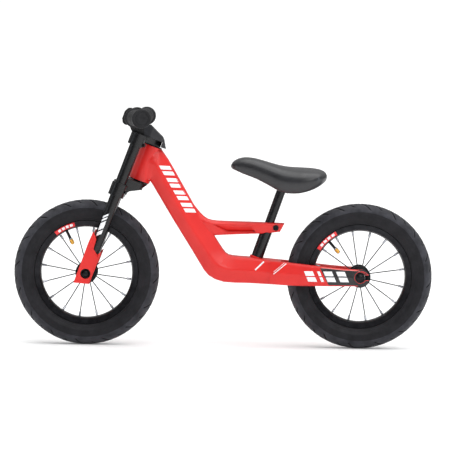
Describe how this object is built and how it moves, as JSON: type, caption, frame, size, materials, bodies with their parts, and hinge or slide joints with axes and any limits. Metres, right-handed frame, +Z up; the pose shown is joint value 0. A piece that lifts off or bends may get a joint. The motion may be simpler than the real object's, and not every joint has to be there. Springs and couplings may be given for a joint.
{
  "type": "balance bike",
  "caption": "Child's balance bike: cast step-through frame, double-crown fork, spoked wheels with air tyres, swept handlebar and a height-adjustable saddle.",
  "frame": {"origin": "on the ground, midway between the two tyres' far ends, on the mid-plane", "axes": "+X to the rear of the bike (it faces -X), +Y to the rider's right, +Z up"},
  "size_m": [0.87, 0.4218, 0.4941],
  "materials": {
    "frame_paint": "gloss",
    "black_paint": "satin",
    "black_steel": "satin",
    "plain_steel": "satin",
    "headset_alloy": "satin",
    "hard_plastic": "satin",
    "saddle_foam": "satin",
    "grip_rubber": "matte",
    "tyre_rubber": "matte",
    "tube_rubber": "matte",
    "rim_alloy": "satin",
    "spoke_steel": "satin",
    "nipple_alloy": "satin",
    "valve_brass": "satin"
  },
  "bodies": {
    "frame": {"frame": "frame_paint", "lower_headset_cup": "headset_alloy", "upper_headset_cup": "headset_alloy", "lower_headset_bearing": "plain_steel", "upper_headset_bearing": "plain_steel", "seat_tube": "black_paint", "seat_clamp_bolt": "black_steel", "seat_clamp_nut": "black_steel", "rear_axle": "black_steel", "rear_axle_spacers": "plain_steel", "rear_axle_washers": "plain_steel", "rear_axle_nuts": "black_steel"},
    "fork": {"fork_leg_left": "black_paint", "fork_leg_right": "black_paint", "lower_crown": "black_paint", "upper_crown": "black_paint", "stem_cap": "black_paint", "stem_cap_bolts": "black_steel", "lower_crown_bolts": "black_steel", "upper_crown_bolts": "black_steel", "steerer_tube": "black_steel", "steerer_cap": "black_steel", "top_cover": "hard_plastic", "fork_guard_left": "frame_paint", "fork_guard_right": "frame_paint", "front_axle": "black_steel", "front_axle_spacers": "plain_steel", "front_axle_washers": "plain_steel", "front_axle_nuts": "black_steel"},
    "handlebar": {"handlebar": "black_paint", "grip_left": "grip_rubber", "grip_right": "grip_rubber"},
    "front_wheel": {"front_tyre": "tyre_rubber", "front_inner_tube": "tube_rubber", "front_rim": "rim_alloy", "front_hub": "rim_alloy", "front_hub_bearings": "plain_steel", "front_spokes": "spoke_steel", "front_spoke_nipples": "nipple_alloy", "front_valve_stem": "grip_rubber", "front_valve_cap": "valve_brass"},
    "rear_wheel": {"rear_tyre": "tyre_rubber", "rear_inner_tube": "tube_rubber", "rear_rim": "rim_alloy", "rear_hub": "rim_alloy", "rear_hub_bearings": "plain_steel", "rear_spokes": "spoke_steel", "rear_spoke_nipples": "nipple_alloy", "rear_valve_stem": "grip_rubber", "rear_valve_cap": "valve_brass"},
    "seat": {"seat_post": "black_paint", "saddle_base": "hard_plastic", "saddle_pad": "saddle_foam"}
  },
  "joints": [
    {"name": "steering", "type": "hinge", "parent": "frame", "child": "fork", "pos_m": [-0.16423, 0, 0.37965], "axis": [0.3469, 0, 0.9379], "range_deg": [-60, 60]},
    {"name": "handlebar_tilt", "type": "hinge", "parent": "fork", "child": "handlebar", "pos_m": [-0.19696, 0, 0.4745], "axis": [0, 1, 0], "range_deg": [-15, 15]},
    {"name": "front_wheel_spin", "type": "hinge", "parent": "fork", "child": "front_wheel", "pos_m": [-0.284, 0, 0.151], "axis": [0, 1, 0], "continuous": true},
    {"name": "rear_wheel_spin", "type": "hinge", "parent": "frame", "child": "rear_wheel", "pos_m": [0.284, 0, 0.151], "axis": [0, 1, 0], "continuous": true},
    {"name": "seat_height", "type": "slide", "parent": "frame", "child": "seat", "axis": [0.3272, 0, 0.9449], "range_m": [-0.045, 0.03]}
  ]
}
